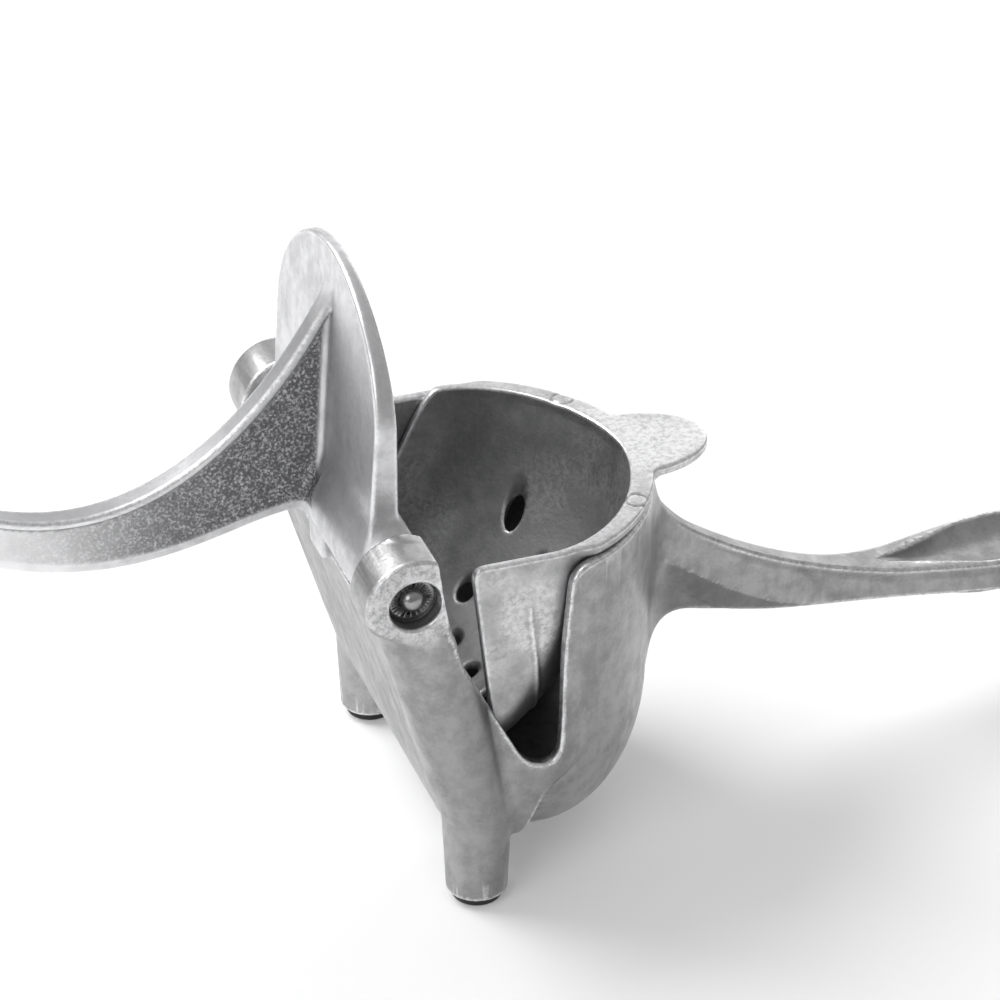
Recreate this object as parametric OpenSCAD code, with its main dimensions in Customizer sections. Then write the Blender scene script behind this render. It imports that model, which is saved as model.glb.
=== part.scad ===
// Hinged lemon squeezer: a cast bowl on two legs, a swinging press lever,
// a lift-out strainer scoop, a steel hinge pin and two rubber foot pads.
// The origin is on the table below the hinge axis, +X runs to the bowl handle,
// the hinge axis runs along Y and the pouring notch is on the -Y side.

/* [Hinge] */
// Height of the hinge axis above the table
hinge_height = 75; // [72:0.5:80]
// Radius of the hinge pin
pin_radius = 4; // [3:0.1:4.4]
// Radial running clearance of the lever on the pin
pin_clearance = 0.05; // [0.02:0.01:0.1]
// Outer radius of the lug boss round the pin
boss_radius = 9.4; // [8.6:0.1:11]
// How far each boss stands out from the bowl wall
boss_length = 7.8; // [6:0.1:10]
// Depth of the wide mouth of the pin hole in each boss
mouth_depth = 3.4; // [2:0.1:4.5]
// Extra radius of the mouth over the pin
mouth_margin = 1.3; // [0.6:0.1:1.6]

// Radius of the riveted heads of the pin, inside the mouths
head_radius = 5; // [4.6:0.1:5.2]

/* [Bowl] */
// Width of the bowl across the hinge axis
bowl_width = 72.4; // [70:0.2:80]
// Distance from the hinge axis to the outside of the handle side of the bowl
bowl_reach = 60.5; // [59:0.5:66]
// Wall thickness of the bowl
bowl_wall = 2.4; // [2:0.1:3.2]
// Extra thickness of the bowl's floor over its wall
floor_extra = 1.8; // [0:0.2:2]
// Height of the underside of the bowl above the table
bowl_lift = 6; // [4:0.5:9]
// Depth of the bowl rim below the hinge axis
rim_drop = 4; // [3:0.5:6]
// Depth of the straight back rim below the hinge axis
back_rim_drop = 13; // [12:0.5:15]
// Height of the rounding between the wall and the bottom of the bowl
bottom_round = 24; // [18:1:26]
// Width of the rounding between the wall and the bottom of the bowl
bottom_spread = 14; // [10:1:18]
// Length of the curved handle end of the bowl outline
bowl_nose = 30; // [26:0.5:32]

/* [Pouring notch] */
// Distance from the hinge axis to the left edge of the notch at the rim
notch_left = 9.2; // [8:0.1:12]
// Distance from the hinge axis to the right edge of the notch at the rim
notch_right = 32.7; // [31:0.1:38]
// Distance from the hinge axis to the middle of the notch bottom
notch_bottom_x = 26; // [24:0.5:28]
// Width of the notch bottom
notch_bottom_width = 7; // [6:0.5:10]
// Depth of the notch bottom below the hinge axis
notch_depth = 44; // [40:0.5:48]
// How far the beak swells out from the bowl wall
beak_reach = 3.4; // [2:0.2:5]

/* [Legs] */
// Distance of the feet from the hinge axis towards the handle
foot_x = 15; // [12:0.5:18]
// Distance of each foot's centre inside the side of the bowl
foot_inset = 3.2; // [2:0.1:5]
// Radius of a foot at its lower end
foot_radius = 5.9; // [5.6:0.1:7]
// Radius of a foot at its upper end
foot_top_radius = 6.7; // [6.4:0.1:7.5]
// Height of the straight part of a foot
foot_height = 19; // [15:0.5:22]
// Radius of a rubber foot pad
pad_radius = 4.9; // [4:0.1:5]
// Height of a foot pad below the metal foot
pad_height = 2; // [1.5:0.1:3]
// Depth of the pad's socket in the foot
pad_socket = 2.5; // [2:0.1:4]

/* [Bowl handle] */
// Distance from the hinge axis to the tip of the bowl handle
handle_reach = 198; // [185:1:215]
// Depth of the handle valley's top below the hinge axis
handle_valley_drop = 40; // [38:0.5:44]
// Width of the handle blade at the grip
handle_width = 20.5; // [18:0.5:26]
// Thickness of the handle blade at the grip
handle_thick = 6.5; // [5.5:0.5:9]
// Depth of the stiffening keel under the handle blade
handle_keel = 4.6; // [0:0.2:5]
// Depth of the thumb scoop in a grip
scoop_depth = 2; // [1:0.1:3]

/* [Press lever] */
// Length of the press plate from the hinge axis to its tip
plate_length = 51; // [49:0.1:53]
// Width of the press plate
plate_width = 60.4; // [56:0.2:60.6]
// Thickness of the press plate at its tip
plate_tip_thick = 2.6; // [2:0.1:3.5]
// Thickness of the press plate beside the hinge
plate_root_thick = 6; // [5:0.1:7]
// Length of the curved tip of the press plate
plate_crown = 24; // [20:0.5:28]
// Radius of the lever knuckle round the pin
knuckle_radius = 7.4; // [6.5:0.1:8.5]
// Distance from the hinge axis to the tip of the lever arm
arm_reach = 196; // [180:1:215]
// Rise of the arm tip above the hinge axis with the lever open
arm_rise = 74; // [60:1:85]
// Width of the lever grip
grip_width = 19; // [15:0.5:24]
// Thickness of the lever grip
grip_thick = 5.5; // [4.5:0.5:8]
// Width of the flanges along the arm
arm_flange = 4.8; // [4:0.2:7]
// Width of the web between the flanges
arm_web = 2.8; // [2.4:0.2:4]
// Thickness left over the hollow underside of the lever grip
grip_skin = 3; // [2.4:0.2:4]

/* [Strainer] */
// Wall thickness of the strainer
strainer_wall = 1.8; // [1.5:0.1:2]
// Clearance between the strainer and the bowl wall
strainer_gap = 0.3; // [0.2:0.05:0.5]
// Width of the rim flange at the handle side
flange_width = 3.2; // [2:0.2:4]
// Thickness of the rim flange
flange_thick = 2.4; // [2:0.1:3]
// Distance from the hinge axis to the open edge of the scoop at the rim
scoop_open_x = 14; // [13:0.5:18]
// Distance from the hinge axis to the open edge of the scoop at its lip
scoop_lip_x = 20; // [19:0.5:23]
// Length of the finger tab beyond the flange
tab_length = 12.5; // [9:0.5:16]
// Width of the finger tab
tab_width = 22; // [16:1:26]
// Diameter of a strainer hole
hole_diameter = 4; // [3:0.1:5]

/* [Hidden] */

half_bowl = bowl_width / 2;
foot_y = half_bowl - foot_inset;
rim_z = -rim_drop;
bowl_bottom_z = bowl_lift - hinge_height;
inner_half = half_bowl - bowl_wall;
boss_end = half_bowl + boss_length;
pin_half = boss_end - mouth_depth;
wall_draft = 0.02;
ear_radius = boss_radius - 0.3;
bore_fn = 64;
curve_fn = 48;
cut = 60;
foot_z = -hinge_height + pad_height;

strainer_half = inner_half - strainer_gap;
strainer_front = bowl_reach - bowl_wall - strainer_gap;
strainer_nose = bowl_nose - bowl_wall - strainer_gap;
sweep_z = 4;
sweep_x = -0.5;
sweep_outer = norm([strainer_front - sweep_x, rim_z - sweep_z]);
flange_z = rim_z + flange_thick;

// A D outline seen from above: a curved nose at x_front, sides at +-half and a
// back edge at x_back with rounded corners. The nose is a superellipse and the
// sides bulge very slightly.
nose_power = 1.8;
side_bulge = 0.15;
side_steps = 8;
nose_steps = 28;
corner_steps = 5;
function squircle(c) = sign(c) * pow(abs(c), 2 / nose_power);
function d_side(x_from, x_to, half, u, side) =
    [mix(x_to, x_from, u), side * (half + side_bulge * sin(180 * u))];
function d_outline(x_back, x_front, half, nose, corner) = concat(
    [for (i = [0 : nose_steps]) let (a = -90 + 180 * i / nose_steps)
        [x_front - nose + nose * squircle(cos(a)), half * squircle(sin(a))]],
    [for (i = [1 : side_steps])
        d_side(x_back + corner, x_front - nose, half, i / (side_steps + 1), 1)],
    [for (i = [0 : corner_steps]) let (a = 90 + 90 * i / corner_steps)
        [x_back + corner * (1 + cos(a)), half - corner * (1 - sin(a))]],
    [for (i = [0 : corner_steps]) let (a = 180 + 90 * i / corner_steps)
        [x_back + corner * (1 + cos(a)), -half + corner * (1 + sin(a))]],
    [for (i = [side_steps : -1 : 1])
        d_side(x_back + corner, x_front - nose, half, i / (side_steps + 1), -1)]);

function at_height(outline, z) = [for (p = outline) [p[0], p[1], z]];

// A closed skin over rings that all have the same number of points
module skin(rings) {
    n = len(rings[0]);
    last = len(rings) - 1;
    sides = [for (k = [0 : last - 1], i = [0 : n - 1])
        let (a = k * n + i, b = k * n + (i + 1) % n, up = n)
        each [[a, a + up, b + up], [a, b + up, b]]];
    bottom = [[for (i = [0 : n - 1]) i]];
    top = [[for (i = [n - 1 : -1 : 0]) last * n + i]];
    polyhedron(points = [for (r = rings) each r], faces = concat(bottom, sides, top));
}

// A point at u on a cubic curve with four control points
function bezier(p, u) = pow(1 - u, 3) * p[0] + 3 * u * pow(1 - u, 2) * p[1]
    + 3 * u * u * (1 - u) * p[2] + pow(u, 3) * p[3];
function ease(u) = (1 - cos(180 * max(0, min(1, u)))) / 2;
function mix(a, b, u) = a + (b - a) * u;

// One section of a beam between a top and a bottom point in the XZ plane: a top
// flange with a dished face, a narrower web and a bottom flange. The underside is
// hollowed by under, or carries a keel where under is negative.
dish_steps = 8;
face_crown = 0.12;
function beam_ring(top, bottom, top_half, web_half, bottom_half, dish, under) =
    let (down = (bottom - top) / norm(bottom - top), depth = norm(bottom - top),
        lip = min(1.6, 0.24 * depth), slope = 0.3 + 0.6 * abs(top_half - web_half),
        crown = [for (i = [0 : dish_steps]) let (s = -1 + 2 * i / dish_steps)
            [top_half * s, (dish - face_crown) * (1 - s * s)]],
        right = [[top_half, lip], [web_half, lip + slope],
            [web_half, depth - lip - slope], [bottom_half, depth - lip], [bottom_half * 0.84, depth],
            [bottom_half * 0.7, depth], [bottom_half * (under < 0 ? 0.27 : 0.6), depth - under]],
        left = [for (i = [6 : -1 : 0]) [-right[i][0], right[i][1]]])
    [for (p = concat(crown, right, left)) [top[0] + down[0] * p[1], p[0], top[1] + down[1] * p[1]]];

module at_hinge() {
    translate([0, 0, hinge_height]) children();
}

module along_y(radius, from, to) {
    translate([0, from, 0]) rotate([-90, 0, 0]) cylinder(r = radius, h = to - from, $fn = bore_fn);
}

// A side profile in XZ, extruded along Y between two places
module side_profile(points, from, to) {
    translate([0, to, 0]) rotate([90, 0, 0]) linear_extrude(to - from) polygon(points);
}

// The bowl's back edge, its lean and how it follows the bottom rounding
back_x = -3;
back_slope = 0.25;
back_round = 0.5;
// The near wall swells into a beak under the notch: softly from its left edge,
// and back over a narrow crease on its right. It fades in below beak_top_z.
beak_left_x = 8;
beak_crease_x = 28;
beak_crease_run = 5;
beak_slant = 0.26;
beak_top_z = -18;
function beak_swell(p, z) = let (crease = beak_crease_x + beak_slant * min(0, z + notch_depth),
        along = p[0] < crease ? ease((p[0] - beak_left_x) / (crease - beak_left_x))
            : ease((crease + beak_crease_run - p[0]) / beak_crease_run),
        level = ease((beak_top_z - z) / 24) * ease((z - bowl_bottom_z - 3) / 14))
    p[1] < 0 ? beak_reach * along * level : 0;
function swell(outline, z) = [for (p = outline) [p[0], p[1] - beak_swell(p, z)]];

// One level of the bowl, thinned on all sides by skin_in
function bowl_ring(z, inset, skin_in) =
    let (depth = rim_z - z, lean = wall_draft * max(0, depth))
    at_height(swell(d_outline(
        back_x + back_slope * max(0, depth - 10) + back_round * inset + skin_in,
        bowl_reach - lean - inset - skin_in, half_bowl - lean - inset - skin_in,
        bowl_nose - 0.62 * inset - skin_in, max(1.5, 7 - 0.15 * inset - skin_in)), z), z);

round_steps = 9;
module bowl_skin(top_z, skin_in) {
    low = bowl_bottom_z + skin_in + (skin_in > 0 ? floor_extra : 0);
    radius = bottom_round;
    skin(concat(
        [for (i = [round_steps : -1 : 0]) let (a = 90 * i / round_steps)
            bowl_ring(low + radius * (1 - sin(a)), bottom_spread * (1 - cos(a)), skin_in)],
        [for (z = [-40 : 5 : -15]) bowl_ring(z, 0, skin_in)], [bowl_ring(top_z, 0, skin_in)]));
}

// The pouring notch with rounded lower corners
notch_round = 2;
notch_profile = let (left = notch_bottom_x - notch_bottom_width / 2,
        right = notch_bottom_x + notch_bottom_width / 2, low = -notch_depth, r = notch_round)
    concat([[notch_left - 1.2, -6], [notch_left, -16]],
        [for (a = [205 : 13 : 270]) [left + r + r * cos(a), low + r + r * sin(a)]],
        [for (a = [270 : 17 : 355]) [right - r + r * cos(a), low + r + r * sin(a)]],
        [[notch_right, rim_z - notch_round],
        for (a = [180 : -18 : 90]) [notch_right + r + r * cos(a), rim_z - r + r * sin(a)]],
        [[notch_right + r, 30], [-2, 30], [-0.5, 15], [6.9, 3], [7.2, -1.5]]);

module foot_column(side) {
    translate([foot_x, side * foot_y, foot_z])
        cylinder(r1 = foot_radius, r2 = foot_top_radius, h = foot_height, $fn = bore_fn);
}

// The leg rib runs slanting from the lug boss down to the foot
module leg_rib(side) {
    outer = half_bowl + 5.6;
    hull() {
        rotate([90 * side, 0, 0]) translate([0, 0, -outer])
            cylinder(r = boss_radius - 1.6, h = 7, $fn = 32);
        translate([foot_x, side * foot_y, foot_z + foot_height - 2])
            cylinder(r = foot_top_radius, h = 6, $fn = 32);
    }
}

handle_root_x = bowl_reach - 8;
handle_steps = 32;
valley_x = 118;
valley_run = 50;
root_rise = 19;
root_depth = 14;
root_fillet_depth = 27;
spread_x = 94;
spread_run = 52;
stem_half = 2.7;
tip_round = 14;
droop_x = 140;
dish_x = 108;
keel_x = 112;
droop = hinge_height - handle_valley_drop - handle_thick;
// Top line, depth, half width, thumb scoop and keel of the bowl handle at x
function handle_top(x) = let (climb = max(0, (valley_x - x) / valley_run),
        fall = ease((x - droop_x) / (handle_reach - droop_x - 2)))
    root_rise * pow(climb, 1.9) - handle_valley_drop - fall * droop;
function handle_depth(x) = handle_thick + root_depth * pow(max(0, (valley_x - x) / valley_run), 1.6);
function handle_half(x) = let (grow = ease((x - spread_x) / spread_run),
        tip = max(0, (x - handle_reach + tip_round) / tip_round))
    mix(stem_half, handle_width / 2, grow) * sqrt(max(0.02, 1 - tip * tip));
function handle_dish(x) = scoop_depth * ease((x - dish_x) / 18) * ease((handle_reach - 6 - x) / 14);
function handle_under(x) = 0.05 - handle_keel * ease((x - keel_x) / 24) * ease((handle_reach - 14 - x) / 20);

module bowl_handle() {
    skin([for (i = [handle_steps : -1 : 0])
        let (x = mix(handle_root_x, handle_reach, 1 - pow(1 - i / handle_steps, 1.35)),
            z = handle_top(x), half = handle_half(x), web = half - 0.1 - 0.8 * (1 - ease((x - 80) / 30)))
        beam_ring([x, z], [x, z - handle_depth(x)], half, web, half * 0.96,
            handle_dish(x), handle_under(x))]);
    // a fillet that spreads the handle root into the bowl wall
    hull() {
        translate([handle_root_x + 4, 0, handle_top(bowl_reach) - 1.5]) scale([1, 1.6, 1])
            cylinder(r = 6, h = 1.4, center = true, $fn = 32);
        translate([handle_root_x + 4, 0, handle_top(bowl_reach) - root_fillet_depth]) scale([1, 1.6, 1])
            cylinder(r = 6, h = 1.4, center = true, $fn = 32);
        translate([bowl_reach + 6, 0, handle_top(bowl_reach + 6) - 3])
            cylinder(r = 2.2, h = 1.5, center = true, $fn = 32);
    }
}

module bowl() {
    color("silver") at_hinge() difference() {
        union() {
            intersection() {
                bowl_skin(14, 0);
                union() {
                    side_profile([[-20, -90], [90, -90], [90, rim_z], [-20, rim_z]], -cut, cut);
                    along_y(ear_radius, -cut, cut);
                }
            }
            for (side = [-1, 1]) {
                along_y(boss_radius, min(side * (inner_half + 0.2), side * boss_end),
                    max(side * (inner_half + 0.2), side * boss_end));
                foot_column(side);
                leg_rib(side);
            }
            bowl_handle();
        }
        bowl_skin(20, bowl_wall);
        side_profile([[-20, -back_rim_drop], [8, -back_rim_drop], [8, 30], [-20, 30]],
            -inner_half, inner_half);
        side_profile(notch_profile, -cut, -inner_half + 4);
        along_y(pin_radius, -cut, cut);
        for (side = [-1, 1]) {
            along_y(pin_radius + mouth_margin, min(side * pin_half, side * cut),
                max(side * pin_half, side * cut));
            translate([foot_x, side * foot_y, foot_z - 1])
                cylinder(r = pad_radius, h = pad_socket + 1, $fn = bore_fn);
        }
    }
}

// Face of the press plate in front of the hinge axis
plate_front = 1.5;
half_plate = plate_width / 2;
knuckle_half = inner_half - 0.4;
// Outline of the press plate in YZ with its curved tip
plate_outline = concat([[-half_plate, -2]], [for (i = [0 : 24]) let (a = 180 - 180 * i / 24)
        [half_plate * cos(a), plate_length - plate_crown + plate_crown * sin(a)]],
    [[half_plate, -2]]);
// Top and bottom edge lines of the arm in XZ: a root stretch and a grip stretch
arm_knee = -72;
knee_top = 10.5;
knee_bottom = -1.2;
arm_top_root = [[plate_front - 1.2, 47.5], [-10, 25], [-36.3, -8.8], [arm_knee, knee_top]];
arm_bottom_root = [[plate_front - 1.2, -6.6], [-12, 7], [-33, -20.6], [arm_knee, knee_bottom]];
arm_top_grip = [[arm_knee, knee_top], [-98, 24.6],
    [-0.8 * arm_reach, 0.7 * arm_rise], [-arm_reach, arm_rise]];
arm_bottom_grip = [[arm_knee, knee_bottom], [-100, 12.9],
    [-0.8 * arm_reach - 1, 0.7 * arm_rise - 8], [-arm_reach - 2, arm_rise - grip_thick]];
grip_scoop = 1.4;
root_steps = 18;
grip_steps = 18;
function arm_half(u) = let (tip = max(0, (u - 0.88) / 0.12))
    mix(arm_flange / 2, grip_width / 2, ease((u - 0.05) / 0.45)) * sqrt(max(0.02, 1 - tip * tip));

module arm() {
    skin(concat(
        [for (i = [0 : root_steps - 1]) let (u = i / root_steps)
            beam_ring(bezier(arm_top_root, u), bezier(arm_bottom_root, u),
                arm_flange / 2, arm_web / 2, arm_flange / 2, 0, 0.05)],
        [for (i = [0 : grip_steps]) let (u = 1 - pow(1 - i / grip_steps, 1.3), half = arm_half(u),
                top = bezier(arm_top_grip, u), bottom = bezier(arm_bottom_grip, u),
                hollow = max(0, norm(bottom - top) - grip_skin)
                    * ease((u - 0.1) / 0.25) * ease((0.97 - u) / 0.1))
            beam_ring(top, bottom,
                half, half - 0.1 - (arm_flange - arm_web) / 2 * (1 - ease(u / 0.3)), half * 0.96,
                grip_scoop * ease((u - 0.3) / 0.2) * ease((0.97 - u) / 0.12), 0.05 + hollow)]));
}

heel_drop = back_rim_drop - 0.3;
module press_lever() {
    color("lightgray") at_hinge() difference() {
        union() {
            intersection() {
                rotate([90, 0, 90]) translate([0, 0, -20]) linear_extrude(40) polygon(plate_outline);
                side_profile([[plate_front, -3], [plate_front, 60], [plate_front - plate_tip_thick, 60],
                    [plate_front - plate_tip_thick, plate_length], [plate_front - plate_root_thick, 2],
                    [plate_front - plate_root_thick, -3]], -half_plate, half_plate);
            }
            along_y(knuckle_radius, -knuckle_half, knuckle_half);
            arm();
            side_profile([[-5.5, 0], [1.5, 0], [0.5, -heel_drop], [-3, -heel_drop], [-5.5, -9]], -4, 4);
        }
        along_y(pin_radius + pin_clearance, -cut, cut);
    }
}

// The scoop's wall follows an arc that stays just outside the swing of the press plate
function sweep_reach(z, skin_in) =
    sweep_x + sqrt(max(0, pow(sweep_outer - skin_in, 2) - pow(z - sweep_z, 2)));
function strainer_ring(z, skin_in) =
    let (front = sweep_reach(z, skin_in), depth = rim_z - z, back = 3,
        nose = min(strainer_nose - skin_in - 0.12 * max(0, depth), 0.75 * (front - back)))
    at_height(d_outline(back, front, strainer_half - wall_draft * max(0, depth) - skin_in, nose, 0.5), z);

strainer_steps = 16;
module strainer_skin(top_z, skin_in) {
    low = sweep_z - sqrt(pow(sweep_outer - skin_in, 2) - pow(scoop_lip_x - sweep_x - 6, 2));
    skin(concat([for (i = [0 : strainer_steps]) let (u = i / strainer_steps)
        strainer_ring(mix(low, rim_z, 1 - pow(1 - u, 1.7)), skin_in)],
        [at_height(d_outline(3, sweep_reach(rim_z, skin_in), strainer_half - skin_in,
            strainer_nose - skin_in, 0.5), top_z)]));
}

flange_side = 1.3;
flange_start = 34;
// Drain holes are straight down through the sloping wall: three in the middle
// plane and five on each side of it
middle_holes = [25, 35.5, 44];
side_holes = [[25, 10.4], [31, 18], [36.2, 13], [42, 8.8], [42, 20.5]];
hole_spots = concat([for (x = middle_holes) [x, 0]],
    [for (side = [-1, 1], p = side_holes) [p[0], side * p[1]]]);
module strainer() {
    color("gainsboro") at_hinge() difference() {
        union() {
            strainer_skin(flange_z, 0);
            // flange and finger tab round the handle side
            translate([0, 0, rim_z]) linear_extrude(flange_thick) intersection() {
                polygon(d_outline(0, strainer_front + flange_width, strainer_half + flange_side,
                    strainer_nose + flange_width, 1));
                translate([flange_start, -cut]) square(2 * cut);
            }
            translate([strainer_front, 0, rim_z + 0.2]) intersection() {
                scale([(tab_length + flange_width) / (tab_width / 2), 1, 1])
                    cylinder(r = tab_width / 2, h = flange_thick, $fn = curve_fn);
                translate([-2, -50, -1]) cube([80, 100, 10]);
            }
        }
        strainer_skin(30, strainer_wall);
        // open hinge side of the scoop
        side_profile([[-10, -80], [scoop_lip_x + 3.2, -80], [scoop_lip_x, sweep_z - sweep_outer + 3],
            [scoop_open_x, flange_z + 1], [scoop_open_x, 30], [-10, 30]], -cut, cut);
        // waved corner of the far wall
        side_profile(concat([[scoop_open_x - 5, -24]],
            [for (i = [0 : 12]) let (u = i / 12) [mix(scoop_open_x, 31, u), mix(-24, flange_z, ease(u))]],
            [[31, 30], [scoop_open_x - 5, 30]]), strainer_half - 9, cut);
        for (p = hole_spots)
            translate([p[0], p[1], -cut]) cylinder(r = hole_diameter / 2, h = cut - 12, $fn = 24);
    }
}

head_edge = 0.6;
dome_height = 1.8;
dome_steps = 8;
// The pin has a domed riveted head at each end, standing on the floor of a mouth
module hinge_pin() {
    dome_radius = (pow(head_radius, 2) + pow(dome_height, 2)) / (2 * dome_height);
    reach = asin(head_radius / dome_radius);
    dome_z = pin_half + head_edge + dome_height;
    dome = [for (i = [1 : dome_steps]) let (a = reach * i / dome_steps)
        [dome_radius * sin(a), dome_z - dome_radius * (1 - cos(a))]];
    half = concat([[0, dome_z]], dome, [[head_radius, pin_half], [pin_radius, pin_half]]);
    color("lightslategray") at_hinge() rotate([90, 0, 0]) rotate_extrude($fn = bore_fn)
        polygon(concat(half, [for (i = [len(half) - 1 : -1 : 0]) [half[i][0], -half[i][1]]]));
}

module foot_pad(side) {
    color("#222222") translate([foot_x, side * foot_y, 0])
        cylinder(r = pad_radius, h = pad_height + pad_socket, $fn = bore_fn);
}

bowl();
press_lever();
strainer();
hinge_pin();
foot_pad(-1);  // foot_pad_near
foot_pad(1);  // foot_pad_far
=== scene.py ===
import math

import bpy
import numpy as np
from mathutils import Matrix, Vector


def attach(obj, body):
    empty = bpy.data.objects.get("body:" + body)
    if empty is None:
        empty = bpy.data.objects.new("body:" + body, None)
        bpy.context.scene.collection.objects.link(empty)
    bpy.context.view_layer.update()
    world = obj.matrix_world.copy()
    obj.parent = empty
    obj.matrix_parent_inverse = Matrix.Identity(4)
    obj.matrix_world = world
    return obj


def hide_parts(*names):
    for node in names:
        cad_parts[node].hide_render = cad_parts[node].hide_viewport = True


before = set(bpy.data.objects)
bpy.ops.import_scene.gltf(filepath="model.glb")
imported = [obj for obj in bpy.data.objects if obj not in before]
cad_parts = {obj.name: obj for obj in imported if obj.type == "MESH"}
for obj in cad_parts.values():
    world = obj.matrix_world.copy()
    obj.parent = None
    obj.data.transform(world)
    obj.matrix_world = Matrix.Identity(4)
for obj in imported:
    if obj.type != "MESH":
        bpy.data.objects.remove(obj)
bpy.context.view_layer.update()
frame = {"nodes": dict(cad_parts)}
print("frame loaded:", ", ".join(frame["nodes"]))

cameraSet = {
    "place": (-0.18373, -0.60294, 0.45801),  # metres, in front of the notch side and above it
    "right": (0.94178, -0.33623, 0.0),
    "up": (0.17568, 0.49208, 0.85264),
    "lens": 141.4,  # mm on a 36 mm sensor
}


def placeCamera(setting):
    data = bpy.data.cameras.new("camera")
    data.lens = setting["lens"]
    data.sensor_width = 36.0
    camera = bpy.data.objects.new("camera", data)
    right, up = Vector(setting["right"]), Vector(setting["up"])
    turn = Matrix((right, up, right.cross(up))).transposed()
    camera.matrix_world = Matrix.Translation(setting["place"]) @ turn.to_4x4()
    bpy.context.scene.collection.objects.link(camera)
    bpy.context.scene.camera = camera


placeCamera(cameraSet)
bpy.context.scene.view_settings.view_transform = "Standard"

lightSet = {
    "key": {"place": (-0.6, 0.62, 1.05), "size": 0.85, "power": 15.0},
    "side": {"place": (-0.9, -0.75, 0.8), "size": 0.9, "power": 4.5},
    "back": {"place": (0.7, 1.1, 0.5), "size": 1.2, "power": 4.0},
}
worldSet = {"top": 0.7, "side": 0.45, "strength": 0.7}
floorSet = {"size": 6.0, "albedo": 0.8, "shown": 0.86, "glow": 0.13}  # shown and glow are what is seen of it


def areaLight(name, place, size, power, aim=(0.02, 0.0, 0.06)):
    data = bpy.data.lights.new(name, "AREA")
    data.shape = "DISK"
    data.size = size
    data.energy = power
    lamp = bpy.data.objects.new(name, data)
    lamp.location = place
    lamp.rotation_euler = (Vector(aim) - Vector(place)).to_track_quat("-Z", "Y").to_euler()
    bpy.context.scene.collection.objects.link(lamp)


for lightName, lightValues in lightSet.items():
    areaLight(lightName, **lightValues)


def buildWorld(setting):
    world = bpy.data.worlds.new("studio")
    bpy.context.scene.world = world
    world.use_nodes = True
    tree = world.node_tree
    tree.nodes.clear()
    link = tree.links.new
    coord = tree.nodes.new("ShaderNodeTexCoord")
    split = tree.nodes.new("ShaderNodeSeparateXYZ")
    ramp = tree.nodes.new("ShaderNodeValToRGB")  # dark sides, pale top
    ramp.color_ramp.elements[0].position = 0.05
    ramp.color_ramp.elements[0].color = (*[setting["side"]] * 3, 1)
    ramp.color_ramp.elements[1].position = 0.75
    ramp.color_ramp.elements[1].color = (*[setting["top"]] * 3, 1)
    shade = tree.nodes.new("ShaderNodeBackground")
    shade.inputs["Strength"].default_value = setting["strength"]
    out = tree.nodes.new("ShaderNodeOutputWorld")
    link(coord.outputs["Generated"], split.inputs[0])
    link(split.outputs["Z"], ramp.inputs["Fac"])
    link(ramp.outputs["Color"], shade.inputs["Color"])
    link(shade.outputs[0], out.inputs["Surface"])


buildWorld(worldSet)


def buildFloor(setting):
    half = setting["size"] / 2
    mesh = bpy.data.meshes.new("floor")
    corners = [(-half, -half, 0), (half, -half, 0), (half, half, 0), (-half, half, 0)]
    mesh.from_pydata(corners, [], [(0, 1, 2, 3)])
    floor = bpy.data.objects.new("floor", mesh)
    bpy.context.scene.collection.objects.link(floor)
    material = bpy.data.materials.new("paperFloor")
    material.use_nodes = True
    tree = material.node_tree
    tree.nodes.clear()
    path = tree.nodes.new("ShaderNodeLightPath")
    paper = tree.nodes.new("ShaderNodeBsdfDiffuse")
    paper.inputs["Color"].default_value = (*[setting["albedo"]] * 3, 1)
    shown = tree.nodes.new("ShaderNodeBsdfDiffuse")
    shown.inputs["Color"].default_value = (*[setting["shown"]] * 3, 1)
    glow = tree.nodes.new("ShaderNodeEmission")
    glow.inputs["Strength"].default_value = setting["glow"]
    bright = tree.nodes.new("ShaderNodeAddShader")
    seen = tree.nodes.new("ShaderNodeMath")  # seen by the camera, or in metal or glass
    seen.operation = "MAXIMUM"
    seenAll = tree.nodes.new("ShaderNodeMath")
    seenAll.operation = "MAXIMUM"
    blend = tree.nodes.new("ShaderNodeMixShader")
    out = tree.nodes.new("ShaderNodeOutputMaterial")
    link = tree.links.new
    link(path.outputs["Is Camera Ray"], seen.inputs[0])
    link(path.outputs["Is Glossy Ray"], seen.inputs[1])
    link(seen.outputs[0], seenAll.inputs[0])
    link(path.outputs["Is Transmission Ray"], seenAll.inputs[1])
    link(shown.outputs[0], bright.inputs[0])
    link(glow.outputs[0], bright.inputs[1])
    link(seenAll.outputs[0], blend.inputs["Fac"])
    link(paper.outputs[0], blend.inputs[1])
    link(bright.outputs[0], blend.inputs[2])
    link(blend.outputs[0], out.inputs["Surface"])
    mesh.materials.append(material)


buildFloor(floorSet)
print("camera, lights and floor placed")


# Each cast piece is one smooth field: a number for every place, below zero in the
# metal. Fields are in mm from the hinge axis, so x runs to the bowl handle, y away
# from the notch side and z up. A field is turned into a mesh by castPiece.

hingeHeight = 75.0  # mm above the floor


def mix(a, b, u):
    return a + (b - a) * u


def ease(u):  # half a cosine wave from 0 to 1
    return (1 - np.cos(np.pi * np.clip(u, 0, 1))) / 2


def softMax(a, b, fillet):  # the larger field, with a fillet where the two are close
    h = np.clip(0.5 + 0.5 * (a - b) / fillet, 0, 1)
    return mix(b, a, h) + fillet * h * (1 - h)


def softMin(a, b, fillet):
    return -softMax(-a, -b, fillet)


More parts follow.
